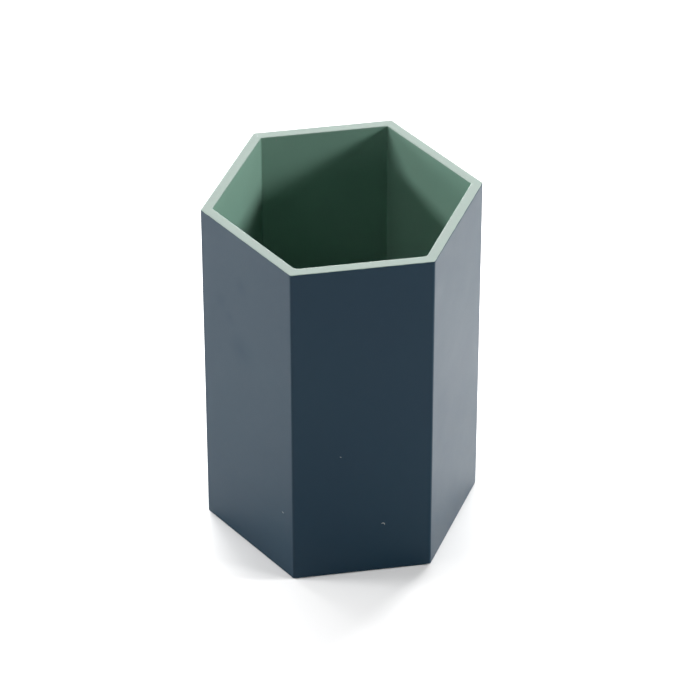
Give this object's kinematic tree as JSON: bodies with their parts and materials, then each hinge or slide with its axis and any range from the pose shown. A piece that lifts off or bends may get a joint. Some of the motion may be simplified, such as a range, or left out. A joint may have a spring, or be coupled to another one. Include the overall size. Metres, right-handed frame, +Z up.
{
  "type": "pen pot",
  "caption": "Hexagonal open-topped pot that stands pens and brushes upright, with mitred panel walls, a let-in base and two-colour lacquer.",
  "frame": {"origin": "centre of the face that the pot stands on", "axes": "+Z up out of the mouth; -Y out of the front wall, +X towards the corner on the right"},
  "size_m": [0.0806, 0.07, 0.11],
  "materials": {
    "fibreboard": "matte",
    "dark_blue_lacquer": "satin",
    "mint_lacquer": "satin",
    "felt": "matte",
    "glue": "gloss"
  },
  "bodies": {
    "root": {"wall_front": "fibreboard", "wall_front_right": "fibreboard", "wall_back_right": "fibreboard", "wall_back": "fibreboard", "wall_back_left": "fibreboard", "wall_front_left": "fibreboard", "mitre_glue": "glue", "base_panel": "fibreboard", "base_glue": "glue", "exterior_lacquer": "dark_blue_lacquer", "interior_lacquer": "mint_lacquer", "felt_pad": "felt", "felt_adhesive": "glue"}
  },
  "joints": []
}
